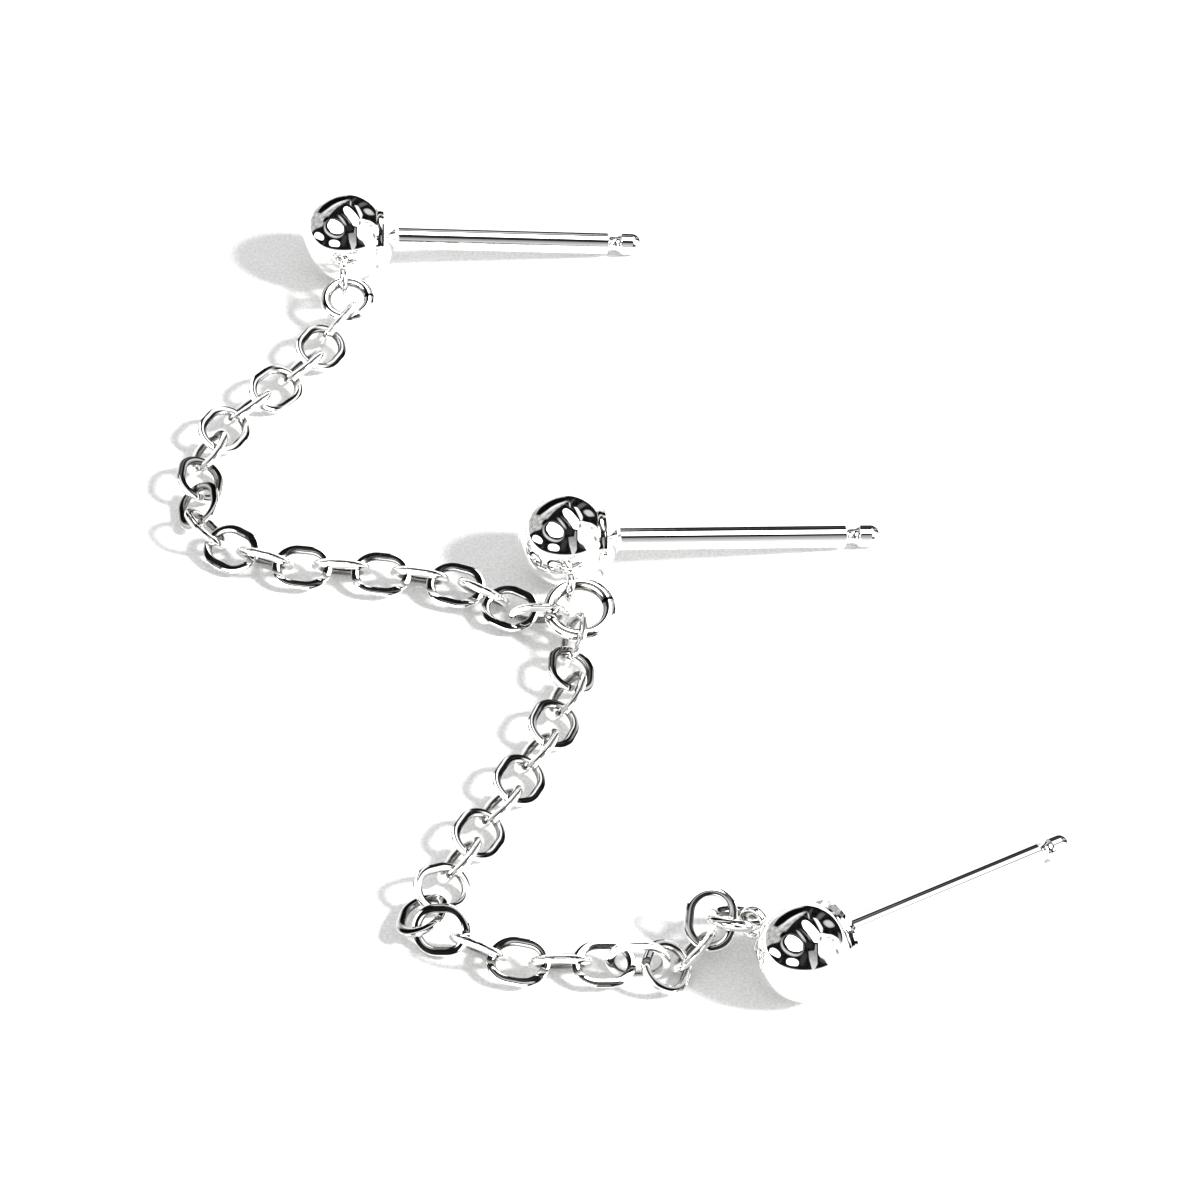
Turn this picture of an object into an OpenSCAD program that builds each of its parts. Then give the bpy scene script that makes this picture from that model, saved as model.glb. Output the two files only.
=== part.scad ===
// Chain stud earring: three ball studs joined by one fine oval-link chain,
// lying on a flat surface. Millimetres, +Z up, the surface at z = 0.
// Stud A is at the far left, B near the middle and C at the near right.
// One run of twenty links goes from A to B and another from B to C.

/* [Studs] */
// Diameter of the polished ball
ball_d = 3.7; // [3.6:0.02:3.8]
// Diameter of the post wire
post_d = 0.9; // [0.8:0.02:1.0]
// Wall of the dished cup that the ball sits in
cup_wall = 0.24; // [0.2:0.01:0.26]
// Distance from the ball's centre to the plane of the cup's rim
cup_rim = 1.42; // [1.36:0.02:1.5]
// Length of the solder fillet between the cup and the post
fillet_l = 0.16; // [0.1:0.02:0.2]
// Length of the groove that the clutch snaps into
groove_l = 0.58; // [0.4:0.02:0.7]
// Diameter of the post at the bottom of the groove
groove_d = 0.58; // [0.56:0.01:0.6]
// Length of the post from the groove to its rounded tip
tip_l = 0.9; // [0.7:0.02:1.1]

/* [Eyes and jump rings] */
// Outer diameter of the eye soldered to each ball
eye_d = 1.36; // [1.34:0.01:1.38]
// Wire of the eyes
eye_wire = 0.32; // [0.3:0.01:0.33]
// How far the eye's wire is let into the ball
eye_sink = 0.12; // [0.1:0.01:0.14]
// Outer diameter of the jump ring at stud A
ring_a_d = 2.2; // [2.19:0.01:2.22]
// Outer diameter of the large jump ring at stud B
ring_b_d = 2.85; // [2.83:0.01:2.86]
// Outer diameter of the jump ring at stud C
ring_c_d = 2.3; // [2.28:0.01:2.31]
// Wire of the two small jump rings
ring_wire = 0.42; // [0.36:0.01:0.42]
// Wire of the large jump ring
ring_b_wire = 0.5; // [0.46:0.01:0.5]

/* [Chain] */
// Outer length of a link
link_l = 2.4; // [2.39:0.01:2.41]
// Outer width of a link
link_w = 1.95; // [1.94:0.01:1.96]
// Wire of the links
link_wire = 0.34; // [0.3:0.01:0.34]

/* [Finish] */
// Colour of the metal
metal = "silver"; // [silver, gainsboro, lightgray]
// Facets of a full circle in the preview
facets = 48; // [32:4:96]

/* [Hidden] */
$fn = facets;

// The studs. Columns: name, x and y of the ball, heading of the post in degrees,
// length from the ball's centre to the tip, and how the eye is turned: round the
// post from the near side, towards the post, and about its own stem.
studs = [
    ["a", -10.55,  20.13,  5.8, 12.45, -10,  4, 15],
    ["b",  -1.38,   1.51,  8.2, 12.73,  -8,  3,  0],
    ["c",   7.46, -20.88, 35.0, 12.45, 186, 12, 10]
];

// The jump rings. Columns: name, centre x, y, z, tilt, heading, outer diameter, wire.
rings = [
    ["a", -10.40,  16.86, 1.20,  16.0,   0, ring_a_d, ring_wire],
    ["b",  -0.80,  -1.92, 1.27,  15.0,   0, ring_b_d, ring_b_wire],
    ["c",   5.04, -18.65, 1.30, -29.5, -11, ring_c_d, ring_wire]
];

// Where each run of chain lies: a row for each bend or change of lean, with the
// links between the rows spread evenly along a smooth curve. Even and odd links
// lean to opposite sides. Columns: link, x, y, height of even links, height of
// odd links, lean of even links, lean of odd links.
LINK = 0; X = 1; Y = 2; Z_EVEN = 3; Z_ODD = 4; LEAN_EVEN = 5; LEAN_ODD = 6;
run_ab = [
    [ 1, -10.75, 15.72, 0.70, 0.90, -25, 60],
    [ 3, -12.20, 13.10, 0.65, 0.74, -25, 45],
    [ 6, -15.18,  9.35, 0.65, 0.74, -25, 45],
    [ 8, -16.00,  6.35, 0.65, 0.70, -28, 40],
    [10, -15.56,  3.30, 0.77, 0.65, -45, 30],
    [12, -13.20,  1.50, 0.84, 0.68, -55, 17],
    [15,  -8.60,  0.75, 0.84, 0.68, -55, 15],
    [17,  -5.65,  0.10, 0.84, 0.68, -55, 15],
    [19,  -3.50, -1.20, 0.84, 0.65, -55, 15],
    [20,  -2.40, -1.90, 0.95, 0.65, -58, 15]
];
run_bc = [
    [ 1, -1.10,  -3.20, 0.65, 0.90, -25,  60],
    [ 3, -1.30,  -6.20, 0.65, 0.74, -25,  45],
    [ 6, -3.08, -10.75, 0.65, 0.74, -25,  45],
    [ 8, -4.58, -13.65, 0.65, 0.74, -25,  45],
    [10, -5.75, -16.45, 0.70, 0.80, -25,  50],
    [12, -5.60, -18.80, 0.70, 0.85,  20, 125],
    [14, -3.00, -20.30, 0.70, 0.83,  18, 125],
    [16,  0.15, -20.40, 0.70, 0.83,  15, 125]
];

// Links that lie loose, at the large ring, in the hairpin and in the heap at C.
// Columns: run, link, x, y, z, heading, pitch, lean.
loose = [
    ["ab", 20, -2.36,  -1.90, 1.02,   0,   0, -62],
    ["bc",  1, -1.05,  -3.20, 0.90, -92,   0,  60],
    ["bc", 10, -5.90, -16.51, 0.69, -147, -14, -32],
    ["bc", 11, -6.60, -17.93, 0.72,  82,   9, -21],
    ["bc", 12, -5.85, -18.87, 0.92, -18, -18,  52],
    ["bc", 17,  1.40, -20.50, 0.98,   0,   0,  90],
    ["bc", 18,  2.45, -20.60, 0.75,  75,   0,  28],
    ["bc", 19,  3.45, -19.80, 0.81,  60,   0, 128],
    ["bc", 20,  4.10, -18.70, 1.33,  81, -47,   0]
];

// The tables count x and y from a point near stud B. This is the middle of the
// whole piece from there, and becomes the origin.
middle = [0.39, -0.375];

run_links = 20;
ball_r = ball_d / 2;
post_r = post_d / 2;
cup_r = ball_r + cup_wall;
eye_reach = ball_r + eye_d / 2 - eye_sink;

function two(n) = str(n < 10 ? "0" : "", n);
function link_name(run, n) = str("chain_", run, "_", two(n));
stud_names = [for (s = studs) str("stud_", s[0])];
ring_names = [for (r = rings) str("ring_", r[0])];

// The row of the table that the place n along the run comes after.
function segment(run, n, i = 0) =
    i >= len(run) - 2 || n < run[i + 1][LINK] ? i : segment(run, n, i + 1);

// Slope of column c at row i, from the rows on both sides.
function slope(run, i, c) =
    let (lo = max(i - 1, 0), hi = min(i + 1, len(run) - 1))
    (run[hi][c] - run[lo][c]) / (run[hi][LINK] - run[lo][LINK]);

// Column c at the place n on a smooth cubic through the rows.
function smooth(run, n, c) =
    let (i = segment(run, n), h = run[i + 1][LINK] - run[i][LINK], t = (n - run[i][LINK]) / h)
    (2 * t^3 - 3 * t^2 + 1) * run[i][c] + (t^3 - 2 * t^2 + t) * h * slope(run, i, c)
    + (3 * t^2 - 2 * t^3) * run[i + 1][c] + (t^3 - t^2) * h * slope(run, i + 1, c);

// Column c at the place n on straight lines between the rows.
function even_mix(run, n, c) =
    let (i = segment(run, n), t = (n - run[i][LINK]) / (run[i + 1][LINK] - run[i][LINK]))
    run[i][c] + t * (run[i + 1][c] - run[i][c]);

// Heading of the run at link n, from half a link before it to half a link after.
function heading(run, n) =
    let (a = max(n - 0.5, run[0][LINK]), b = min(n + 0.5, run[len(run) - 1][LINK]))
    atan2(smooth(run, b, Y) - smooth(run, a, Y), smooth(run, b, X) - smooth(run, a, X));

// The angle by which a post dips from the ball's centre to its tip on the surface.
function dip(reach) = asin((ball_r - post_r) / (reach - post_r));

// Moves what the tables place so that the middle of the piece is the origin.
module laid_out() {
    translate([-middle[0], -middle[1], 0]) children();
}

// A ring of round wire with the outer diameter d, flat in XY.
module wire_ring(d, wire) {
    rotate_extrude() translate([(d - wire) / 2, 0]) circle(d = wire, $fn = 24);
}

// Half of the stud's outline, axis up: the ball, the cup round its back, the
// solder fillet, and the post with its rounded tip, less the hollow groove near it.
module stud_outline(reach) {
    groove_depth = (post_d - groove_d) / 2;
    groove_r = (groove_l ^ 2 / 4 + groove_depth ^ 2) / (2 * groove_depth);
    difference() {
        intersection() {
            union() {
                circle(r = ball_r);
                intersection() {
                    circle(r = cup_r);
                    translate([0, cup_rim]) square([cup_r, cup_r]);
                }
                polygon([
                    [0, cup_rim], [post_r + fillet_l, cup_rim],
                    [post_r + fillet_l, cup_r - fillet_l / 2], [post_r, cup_r + fillet_l / 2],
                    [post_r, reach - post_r], [0, reach - post_r]
                ]);
                translate([0, reach - post_r]) circle(r = post_r);
            }
            translate([0, -ball_d]) square([ball_d, ball_d + reach + 1]);
        }
        translate([groove_d / 2 + groove_r, reach - tip_l - groove_l / 2]) circle(r = groove_r);
    }
}

// The soldered eye, on the ball's side away from the post's line.
module eye(round_post, to_post, twist) {
    rotate([90 - round_post, 0, 0]) rotate([0, -to_post, 0]) rotate([0, 0, twist])
        translate([0, 0, eye_reach]) rotate([0, 90, 0]) wire_ring(eye_d, eye_wire);
}

// One stud, resting on its ball and the tip of its post.
module stud(s) {
    laid_out() translate([s[1], s[2], ball_r]) rotate([0, dip(s[4]), s[3]]) color(metal) {
        rotate([0, 90, 0]) rotate_extrude() stud_outline(s[4]);
        eye(s[5], s[6], s[7]);
    }
}

// One jump ring.
module jump_ring(r) {
    laid_out() translate([r[1], r[2], r[3]]) rotate([r[4], 0, r[5]]) color(metal) wire_ring(r[6], r[7]);
}

// One oval link with its length along X, flat in XY: two half rings and two straights.
module link() {
    bend_r = (link_w - link_wire) / 2;
    straight = link_l - link_w;
    for (side = [0, 1]) rotate([0, 0, 180 * side]) {
        translate([straight / 2, 0, 0]) rotate([0, 0, -90])
            rotate_extrude(angle = 180) translate([bend_r, 0]) circle(d = link_wire, $fn = 24);
        translate([-straight / 2, bend_r, 0]) rotate([0, 90, 0])
            cylinder(d = link_wire, h = straight, $fn = 24);
    }
}

// Link n of a run, on the run's curve or where it lies loose.
module placed_link(name, run, n) {
    own = [for (r = loose) if (r[0] == name && r[1] == n) r];
    is_even = n % 2 == 0;
    place = len(own) > 0 ? [own[0][2], own[0][3], own[0][4]]
        : [smooth(run, n, X), smooth(run, n, Y), even_mix(run, n, is_even ? Z_EVEN : Z_ODD)];
    turn = len(own) > 0 ? [own[0][7], own[0][6], own[0][5]]
        : [even_mix(run, n, is_even ? LEAN_EVEN : LEAN_ODD), 0, heading(run, n)];
    laid_out() translate(place) rotate(turn) color(metal) link();
}

for (i = [0:len(studs) - 1])
    stud(studs[i]);
for (i = [0:len(rings) - 1])
    jump_ring(rings[i]);
for (n = [1:run_links]) {
    placed_link("ab", run_ab, n);
    placed_link("bc", run_bc, n);
}
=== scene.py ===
# %% [markdown]
# # Chain stud earring
#
# Three ball studs of polished silver, joined by one fine chain of oval links, lie on a white
# surface. The metal's shapes come from the frame. This script adds the camera, the light, the
# surface under the piece and the finish of the metal.

# %% The frame
import math
import bpy
import numpy as np
from mathutils import Matrix, Vector

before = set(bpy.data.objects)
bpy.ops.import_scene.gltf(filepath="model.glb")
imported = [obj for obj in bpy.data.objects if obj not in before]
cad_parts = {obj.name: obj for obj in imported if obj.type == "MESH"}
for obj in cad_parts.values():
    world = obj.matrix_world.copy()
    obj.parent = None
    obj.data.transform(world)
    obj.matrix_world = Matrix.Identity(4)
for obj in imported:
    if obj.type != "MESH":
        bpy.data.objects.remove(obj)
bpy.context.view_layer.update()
MM = 0.001

# %% [markdown]
# ## Camera
#
# The balls are equal on the real piece, so their sizes in the picture give the distance, and the
# pitch of the chain along and across the view gives the height: a long lens 24 cm away, looking
# down by 43 degrees. It aims at a point on the surface close to the middle of the piece.

# %% Camera
PICTURE = 1200                # width of the picture in pixels
FOCAL_PIXELS = 6156           # focal length in the same pixels
SENSOR = 36                   # width of the camera's sensor in mm
CAMERA_DISTANCE = 242 * MM
CAMERA_ELEVATION = math.radians(43)
AIM = Vector((-0.39, 0.375, 0)) * MM

view_dir = Vector((0, math.cos(CAMERA_ELEVATION), -math.sin(CAMERA_ELEVATION)))


def looking(direction, position):
    """The matrix of a camera or light at position whose -Z points along direction."""
    turn = direction.to_track_quat("-Z", "Y").to_matrix().to_4x4()
    return Matrix.Translation(position) @ turn


camera_data = bpy.data.cameras.new("camera")
camera_data.sensor_width = SENSOR
camera_data.lens = SENSOR * FOCAL_PIXELS / PICTURE
camera_data.clip_start, camera_data.clip_end = 10 * MM, 20
camera = bpy.data.objects.new("camera", camera_data)
camera.matrix_world = looking(view_dir, AIM - CAMERA_DISTANCE * view_dir)
bpy.context.collection.objects.link(camera)
bpy.context.scene.camera = camera
print("lens", round(camera_data.lens, 1), "mm, camera at", [round(v / MM, 1) for v in camera.location])

# %% [markdown]
# ## Nodes by expression
#
# The finishes are written as sums on wrapped sockets. A class holds one socket and makes a Math
# node for each operator, and one function makes any other node from its type, its settings and
# what goes into its sockets.


# %% Node helpers
class Value:
    """A shader socket that Python's operators can work on."""

    def __init__(self, tree, socket):
        self.tree, self.socket = tree, socket

    def math(self, operation, *others, clamp=False):
        node = self.tree.nodes.new("ShaderNodeMath")
        node.operation, node.use_clamp = operation, clamp
        for slot, item in zip(node.inputs, (self, *others)):
            plug(self.tree, slot, item)
        return Value(self.tree, node.outputs[0])

    def __add__(self, other): return self.math("ADD", other)
    def __radd__(self, other): return self.math("ADD", other)
    def __sub__(self, other): return self.math("SUBTRACT", other)
    def __rsub__(self, other): return wrap(self.tree, other).math("SUBTRACT", self)
    def __mul__(self, other): return self.math("MULTIPLY", other)
    def __rmul__(self, other): return self.math("MULTIPLY", other)
    def __truediv__(self, other): return self.math("DIVIDE", other)


def plug(tree, slot, item):
    """Put a number, a tuple or a wrapped socket into a node's input."""
    if isinstance(item, Value):
        tree.links.new(item.socket, slot)
    else:
        slot.default_value = item


def wrap(tree, number):
    node = tree.nodes.new("ShaderNodeValue")
    node.outputs[0].default_value = number
    return Value(tree, node.outputs[0])


def make(tree, kind, settings=None, output=0, **sockets):
    """A node of this kind. Socket names use _ for spaces, or in0, in1 for a socket by number."""
    node = tree.nodes.new("ShaderNode" + kind)
    for name, setting in (settings or {}).items():
        setattr(node, name, setting)
    for name, item in sockets.items():
        key = int(name[2:]) if name[:2] == "in" and name[2:].isdigit() else name.replace("_", " ")
        plug(tree, node.inputs[key], item)
    return Value(tree, node.outputs[output])


def ramp(tree, factor, low, high):
    """0 below low, 1 above high, and a smooth step between."""
    return make(tree, "MapRange", {"interpolation_type": "SMOOTHSTEP"},
                Value=factor, From_Min=low, From_Max=high)


def new_material(name, **constants):
    """A material with one Principled shader, its constants set on its own sockets."""
    material = bpy.data.materials.new(name)
    material.use_nodes = True
    shader = material.node_tree.nodes["Principled BSDF"]
    for socket, number in constants.items():
        shader.inputs[socket.replace("_", " ")].default_value = number
    return material, material.node_tree, shader.inputs


# %% [markdown]
# ## The surface under the piece
#
# A sheet of smooth white card or acrylic, so bright in the picture that its grain is lost. It is
# one large square, a hair under the lowest metal, with a faint paper tone that only shows in the
# shadows.

# %% Surface
SURFACE_HALF = 1500 * MM
SURFACE_DROP = 0.01 * MM
GRAIN = 9000.0                # scale of the paper's noise, in cells for each metre
CARD_COLOURS = (0.78, 0.78, 0.77, 1), (0.92, 0.92, 0.91, 1)

mesh = bpy.data.meshes.new("surface")
corners = [(x * SURFACE_HALF, y * SURFACE_HALF, -SURFACE_DROP)
           for x, y in ((-1, -1), (1, -1), (1, 1), (-1, 1))]
mesh.from_pydata(corners, [], [(0, 1, 2, 3)])
surface = bpy.data.objects.new("surface", mesh)
bpy.context.collection.objects.link(surface)

material, tree, shader = new_material("white_card", Roughness=0.7, Specular_IOR_Level=0.2)
place = make(tree, "NewGeometry")
grain = make(tree, "TexNoise", Vector=place, Scale=GRAIN, Detail=2.0)
card_colour = make(tree, "Mix", {"data_type": "RGBA"}, output=2, Factor=ramp(tree, grain, 0.35, 0.65),
                   in6=CARD_COLOURS[0], in7=CARD_COLOURS[1])
plug(tree, shader["Base Color"], card_colour)
mesh.materials.append(material)
print("surface", round(2 * SURFACE_HALF), "m wide,", round(SURFACE_DROP / MM, 2), "mm under the metal")

# %% [markdown]
# ## The lamp that throws the shadows
#
# Soft grey shadows lie to the left of the metal. A point 1 mm above the surface throws its
# shadow 1.23 mm to the left and 0.37 mm away from the camera, so the lamp stands to the right and
# a little in front, 38 degrees up. A sun lamp has one direction everywhere, and its angle sets
# how soft the shadow's edge is.

# %% Key lamp
SHADOW_SHIFT = Vector((-1.234, 0.373, -1))      # where a shadow goes for each mm of height
KEY_STRENGTH = 6.0
KEY_ANGLE = 11                                  # how wide the lamp looks, in degrees
KEY_PLACE = Vector((0.5, -0.15, 0.4))           # a sun lamp shines the same from anywhere

key_data = bpy.data.lights.new("key", "SUN")
key_data.energy = KEY_STRENGTH
key_data.angle = math.radians(KEY_ANGLE)
key = bpy.data.objects.new("key", key_data)
key.matrix_world = looking(SHADOW_SHIFT.normalized(), KEY_PLACE)
bpy.context.collection.objects.link(key)
print("key lamp", round(math.degrees(math.asin(-SHADOW_SHIFT.normalized().z))), "degrees up")

# %% [markdown]
# ## The room that the silver mirrors
#
# Each ball is a mirror that shows the whole room, and the posts and links show thin stretches of
# it. The room could be built from lamps and walls, but all of it is far away next to an earring,
# so it is drawn on the sky instead. The sky is laid out as a flat chart, like a map round a pole:
# the zenith is in the middle, the camera's side is below, and each place lies as many units from
# the middle as it is degrees from the zenith. Two kinds of shapes are painted on it one over
# another, rounded panes and panels with straight edges, each with its own brightness.


# %% Sky chart
world = bpy.data.worlds.new("room")
bpy.context.scene.world = world
world.use_nodes = True
sky_tree = world.node_tree
direction = make(sky_tree, "TexCoord")
east, north, up = [make(sky_tree, "SeparateXYZ", output=i, Vector=direction) for i in range(3)]
from_zenith = up.math("ARCCOSINE") * (180 / math.pi)
level = (east * east + north * north).math("SQRT").math("MAXIMUM", 0.0001)
chart_x = from_zenith * east / level
chart_y = from_zenith * north / level


def paint(picture, brightness, mask):
    """The picture with this brightness laid over it where mask is 1."""
    return picture + mask * (brightness - picture)


def pane(x, y, half_length, half_width, turn, edge=1.5, square=0.3):
    """A rounded pane on the chart: an ellipse at square 0, nearly a rectangle at square 1."""
    c, s = math.cos(math.radians(turn)), math.sin(math.radians(turn))
    along = ((chart_x - x) * c + (chart_y - y) * s) / half_length
    across = ((chart_y - y) * c - (chart_x - x) * s) / half_width
    a, b = along * along, across * across
    size = (1 - square) * (a + b) + square * (a * a + b * b)
    soft = 2 * (1 + square) * edge / half_width
    return 1 - ramp(sky_tree, size, 1 - soft, 1 + soft)


def panel(corners, edge=1.5):
    """A panel with straight edges on the chart, its corners in counterclockwise order."""
    mask = None
    for (x0, y0), (x1, y1) in zip(corners, corners[1:] + corners[:1]):
        length = math.hypot(x1 - x0, y1 - y0)
        inside = (chart_y - y0) * ((x1 - x0) / length) - (chart_x - x0) * ((y1 - y0) / length)
        side = ramp(sky_tree, inside, -edge, edge)
        mask = side if mask is None else mask * side
    return mask


# %% [markdown]
# The pale sheet reaches the horizon. Above it stands a nearly black room, and in it a far wall on
# the left with a dark beam across, a bright wall on the right, a streak of light in front, two
# large windows overhead and two small lamps low on the left. Small grey things fill the rest. All
# their places were read from the three balls, which agree with each other, and the greys of the
# streak from the lines that the posts mirror.

# %% Walls of the room
BLACK, SHEET, BRIGHT_WALL = 0.003, 1.3, 1.6
WINDOW, NARROW, LAMP = 5.0, 1.3, 4.0
mottle = make(sky_tree, "TexNoise", Vector=direction, Scale=8.0, Detail=3.0)
speckle = make(sky_tree, "TexNoise", Vector=direction, Scale=22.0, Detail=2.0)
dark = BLACK + 0.035 * ramp(sky_tree, speckle, 0.45, 0.75)
room = paint(wrap(sky_tree, SHEET), dark, pane(0, 4, 94, 90, 0, 2, 0))

FAR_WALL = [(-60, -4), (-52, -1), (0, 50), (0, 130), (-130, 130), (-130, 45), (-95, 21), (-78, 1)]
room = paint(room, 1.2 - 1.3 * mottle, panel(FAR_WALL, 2.5))
room = paint(room, 1.15, pane(-20, 45, 24, 4, 33, 3))
room = paint(room, 1.1, pane(-24, 84, 28, 9, 20, 4))
BEAM = [(-52, 37), (-38, 38.5), (0, 60), (6, 82), (-10, 78), (-46, 62), (-57, 50)]
room = paint(room, BLACK, panel(BEAM, 2))

RIGHT_WALL = [(31.5, -18), (35.5, -43), (43, -49), (130, -64), (130, 40), (70, 22), (34, 6)]
room = paint(room, BRIGHT_WALL, panel(RIGHT_WALL))

STREAK = [(10, -42), (13, -60), (25, -84), (34, -78), (38, -67), (31.5, -40), (24, -38)]
STREAK_TOP = [(25, -40), (31.5, -41), (28.5, -23), (25.5, -23)]
brightening = -0.015 * (chart_y + 22)        # the streak is brighter the lower it is in front
room = paint(room, (1.4 - 0.8 * mottle) * brightening, panel(STREAK, 1))
room = paint(room, 0.4, panel(STREAK_TOP, 1))
print("sheet, walls, beam and streak painted with", len(sky_tree.nodes), "nodes")

# %% Windows, lamps and small things
# Columns: brightness, and then what pane() takes, in its order: x, y, half length, half width and
# turn, and also the edge and the squareness where they aren't 1.5 and 0.3.
SMALL = [
    (0.18, 30, 57, 14, 4, 75, 3),            # greys in the dark corner at the far right
    (0.10, 12, 62, 12, 2, 80, 2),
    (0.12, 8, 42, 9, 1.3, -45),
    (0.80, 9, 48, 9, 1.3, 96, 0.7),
    (0.70, 47.5, 43, 12, 8.5, 62, 2.5),      # pale patch in that corner
    (BLACK, 45, 14, 10, 4, 20),              # dark things over the bright wall
    (0.30, 53, 6, 7, 1.6, 40),
    (0.45, 64, 6, 5, 3, 60, 2),
    (0.20, 36, -7, 6, 3, 80),
    (0.15, 83, -8, 6, 5, 0, 3),
    (0.35, 78, 27, 13, 4, -65, 3),
    (0.08, 52, -53, 9, 5, 0, 4),
    (BLACK, -45, 9, 9, 6, 30, 2),            # dark thing before the far wall
    (0.80, -28, -24, 31, 22.5, -48, 2, 0),   # reveal of the round window
    (BLACK, -26, -22, 30, 20, -48, 2, 0),    # frame of the round window
    (0.80, -6, -7, 15, 2.6, -58),            # slats between the windows
    (0.25, 4, -4, 14, 1.2, -50),
    (0.30, 10, -8, 7, 2, -70),
    (0.03, 11, -28, 9, 7, 0, 2.5),           # dim things in front
    (0.05, -3, -60, 14, 7, 70, 4),
    (0.05, -69, -47, 6, 4, 0, 3),
    (LAMP, -75, -18.5, 19.5, 6.6, -60),      # small lamp at the left
    (LAMP, -34, -63, 17.5, 8, -22),          # small lamp in front
]
for brightness, *shape in SMALL:
    room = paint(room, brightness, pane(*shape))

ROUND_WINDOW = [(-43, -7), (-44.5, -14), (-37.5, -32.5), (-27, -39.5), (-14, -42), (-5, -38.5),
                (-4, -25), (-12.5, -13), (-26, -1.5), (-33.5, 1.5)]
LONG_WINDOW = [(-4, 26), (-1, 12), (22, -19), (32, -18), (31.5, 5), (8, 31), (3, 34), (-2, 32)]
NARROW_WINDOW = [(17, 43), (34.5, 8), (38, 9), (38, 22), (29, 36), (24, 44)]
for brightness, corners in ((WINDOW, ROUND_WINDOW), (WINDOW, LONG_WINDOW), (NARROW, NARROW_WINDOW)):
    room = paint(room, brightness, panel(corners))
print("3 windows and", len(SMALL), "lamps and small things added")

# %% [markdown]
# Only what mirrors the room needs its detail. For the soft light on the surface an even sky is
# enough, as bright as the shadows of the picture ask for, so the two are mixed by kind of ray.

# %% World
SOFT_LIGHT = 0.82
mirrored = make(sky_tree, "Background", Color=room)
even = make(sky_tree, "Background", Color=(SOFT_LIGHT, SOFT_LIGHT, SOFT_LIGHT * 1.01, 1))
by_ray = make(sky_tree, "LightPath", output="Is Glossy Ray")
sky = make(sky_tree, "MixShader", in0=by_ray, in1=even, in2=mirrored)
plug(sky_tree, sky_tree.nodes["World Output"].inputs["Surface"], sky)
bpy.context.scene.view_settings.view_transform = "Standard"
print("the sky has", len(sky_tree.nodes), "nodes in all")

# %% [markdown]
# ## Polished silver
#
# The real metal is bright polished silver: nearly white, mirror smooth, with very fine hairlines
# left by the polishing wheel and a faint unevenness that makes the mirrored edges wander. The
# wire of the chain was tumbled rather than polished by hand, so it is a little softer.
#
# Each link that lies flat mirrors black along both sides, as it does when its wire was pressed a
# little flatter in the plane of the link. New meshes could be built for that. Here the shader
# tilts the normal towards the direction across the link instead, which changes what the wire
# mirrors and leaves its round shape as it is. That direction is the one in which the link's mesh
# spreads least. The side of the wire that faces the hole of a link is painted greyer, a painted
# shade on the insides of the links, and is made a little rougher. Each ring was bent from a piece
# of wire, and the shade in the cut where its ends meet is painted as a thin dark line across it.

# %% Cuts in the rings
CUTS = [((-9.91, 17.34, 1.23), (-0.12, 0.95, 0.27)),      # a point on each ring, in mm, and the
        ((-0.08, -1.18, 1.37), (-0.33, 0.91, 0.25)),      # direction of its wire there
        ((3.74, -18.04, 1.27), (-0.23, -0.84, 0.49))]
CUT_WIDTH = 0.14 * MM
CUT_REACH = 0.6 * MM          # farther from the point, the mask would cut the ring's other side


def cut_shade_mask(tree, place):
    """1 inside the cut of each ring, where its shade is painted, 0 on the rest of the wire."""
    mask = 0
    for point, along in CUTS:
        from_point = make(tree, "VectorMath", {"operation": "SUBTRACT"}, in0=place,
                          in1=tuple(v * MM for v in point))
        off = make(tree, "VectorMath", {"operation": "DOT_PRODUCT"}, output=1, in0=from_point, in1=along)
        far = make(tree, "VectorMath", {"operation": "LENGTH"}, output=1, in0=from_point)
        line = 1 - ramp(tree, off.math("ABSOLUTE"), 0.3 * CUT_WIDTH, 0.7 * CUT_WIDTH)
        mask = mask + line * far.math("LESS_THAN", CUT_REACH)
    return mask


print(len(CUTS), "cuts,", round(CUT_WIDTH / MM, 2), "mm wide")


# %% How a link or ring lies
def middle_and_way(node):
    """The middle of a link or ring, and the direction across it, in which its mesh spreads least."""
    points = np.array([vertex.co for vertex in node.data.vertices])
    spread, ways = np.linalg.eigh(np.cov(points.T))
    return tuple(points.mean(0).tolist()), tuple(ways[:, 0].tolist())


# %% Silver
HAIRLINES, WAVES = 9000.0, 700.0              # scales of the noises, in cells for each metre
WAVE_HEIGHT = 0.02 * MM
TONES = (0.93, 0.93, 0.92, 1), (0.99, 0.985, 0.975, 1)
# painted shade: the near-black colour laid in the cut of each ring
CUT_SHADE_COLOUR = (0.01, 0.01, 0.01, 1)
# The colour here is painted shade on the side of the wire that faces a link's hole; the roughness is
# added there as well
HOLE_SIDE_SHADE_COLOUR, DULL_ROUGHNESS = (0.24, 0.23, 0.22, 1), 0.12


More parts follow.
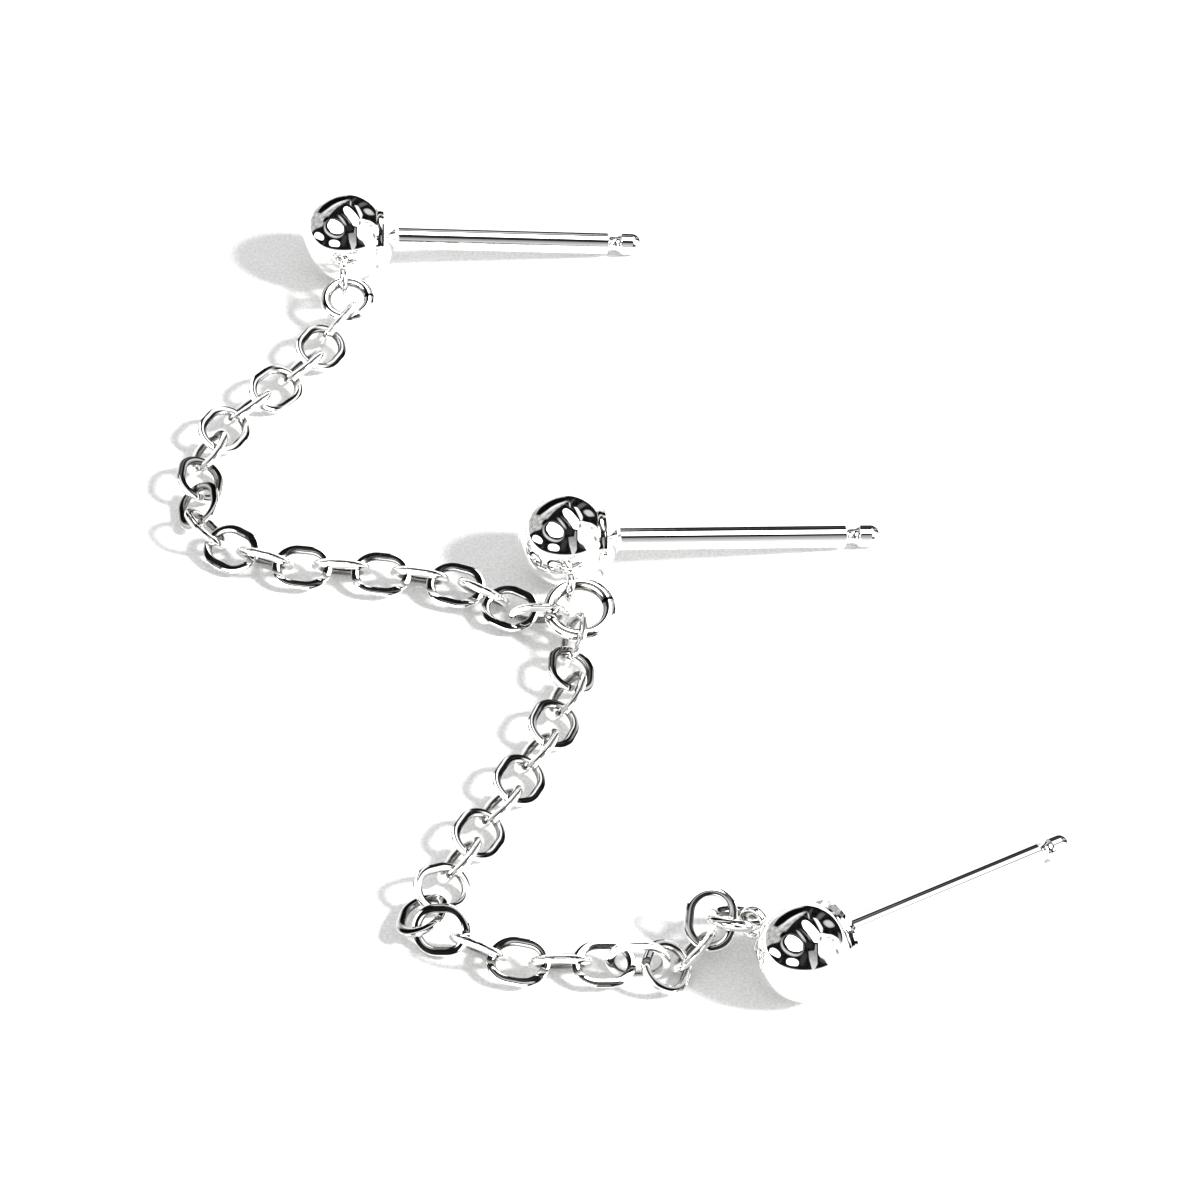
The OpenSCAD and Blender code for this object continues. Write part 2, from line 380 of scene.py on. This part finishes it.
def silver(name, roughness, hairline, waviness, flat=1.0, across=(0, 0, 1), middle=None, cuts=False):
    """Polished silver. Above 1, flat makes the wire mirror as if it was pressed along across."""
    material, tree, shader = new_material(name, Metallic=1.0)
    place = make(tree, "NewGeometry")
    facing = make(tree, "NewGeometry", output="Normal")
    fine = make(tree, "TexNoise", Vector=place, Scale=HAIRLINES, Detail=3.0)
    broad = make(tree, "TexNoise", Vector=place, Scale=WAVES, Detail=2.0)
    tone = make(tree, "Mix", {"data_type": "RGBA"}, output=2, Factor=broad, in6=TONES[0], in7=TONES[1])
    if middle:                                # away is -1 on the side that faces the hole
        outward = make(tree, "VectorMath", {"operation": "SUBTRACT"}, in0=place, in1=middle)
        outward = make(tree, "VectorMath", {"operation": "NORMALIZE"}, in0=outward)
        away = make(tree, "VectorMath", {"operation": "DOT_PRODUCT"}, output=1, in0=facing, in1=outward)
        # painted shade: the side of the wire that faces the hole is painted greyer, and made rougher
        hole_side_shade = 1 - ramp(tree, away, -0.9, -0.1)
        tone = make(tree, "Mix", {"data_type": "RGBA"}, output=2, Factor=hole_side_shade, in6=tone, in7=HOLE_SIDE_SHADE_COLOUR)
        roughness = roughness + DULL_ROUGHNESS * hole_side_shade
    if cuts:
        # painted shade: the cut of each ring is painted near black
        tone = make(tree, "Mix", {"data_type": "RGBA"}, output=2, Factor=cut_shade_mask(tree, place),
                    in6=tone, in7=CUT_SHADE_COLOUR)
    plug(tree, shader["Base Color"], tone)
    plug(tree, shader["Roughness"], roughness + hairline * ramp(tree, fine, 0.5, 0.8))
    tilt = (flat - 1) * make(tree, "VectorMath", {"operation": "DOT_PRODUCT"}, output=1,
                             in0=facing, in1=across)
    pressed = make(tree, "VectorMath", {"operation": "SCALE"}, in0=across, Scale=tilt)
    pressed = make(tree, "VectorMath", {"operation": "ADD"}, in0=facing, in1=pressed)
    pressed = make(tree, "VectorMath", {"operation": "NORMALIZE"}, in0=pressed)
    bump = make(tree, "Bump", Strength=waviness, Distance=WAVE_HEIGHT, Height=broad, Normal=pressed)
    plug(tree, shader["Normal"], bump)
    return material


# %% The finish of every piece
# Columns: roughness, how much the hairlines add to it, waviness, and how flat the wire was pressed.
STUD, RING, LINK = (0.01, 0.02, 0.12), (0.03, 0.04, 0.25, 1.8), (0.03, 0.05, 0.25, 5.0)
STEEP = 40                    # a link that leans by more degrees than this is counted

stud_silver = silver("silver_stud", *STUD)
steep = 0
for name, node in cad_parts.items():
    middle, way = middle_and_way(node)
    if name.startswith("stud"):
        finish = stud_silver
    elif name.startswith("ring"):
        finish = silver("silver_" + name, *RING, way, middle, cuts=True)
    else:
        finish = silver("silver_" + name, *LINK, way, middle)
        steep += abs(way[2]) < math.cos(math.radians(STEEP))
    node.data.materials.clear()
    node.data.materials.append(finish)
print(len(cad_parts), "pieces finished;", steep, "links lean by more than", STEEP, "degrees")
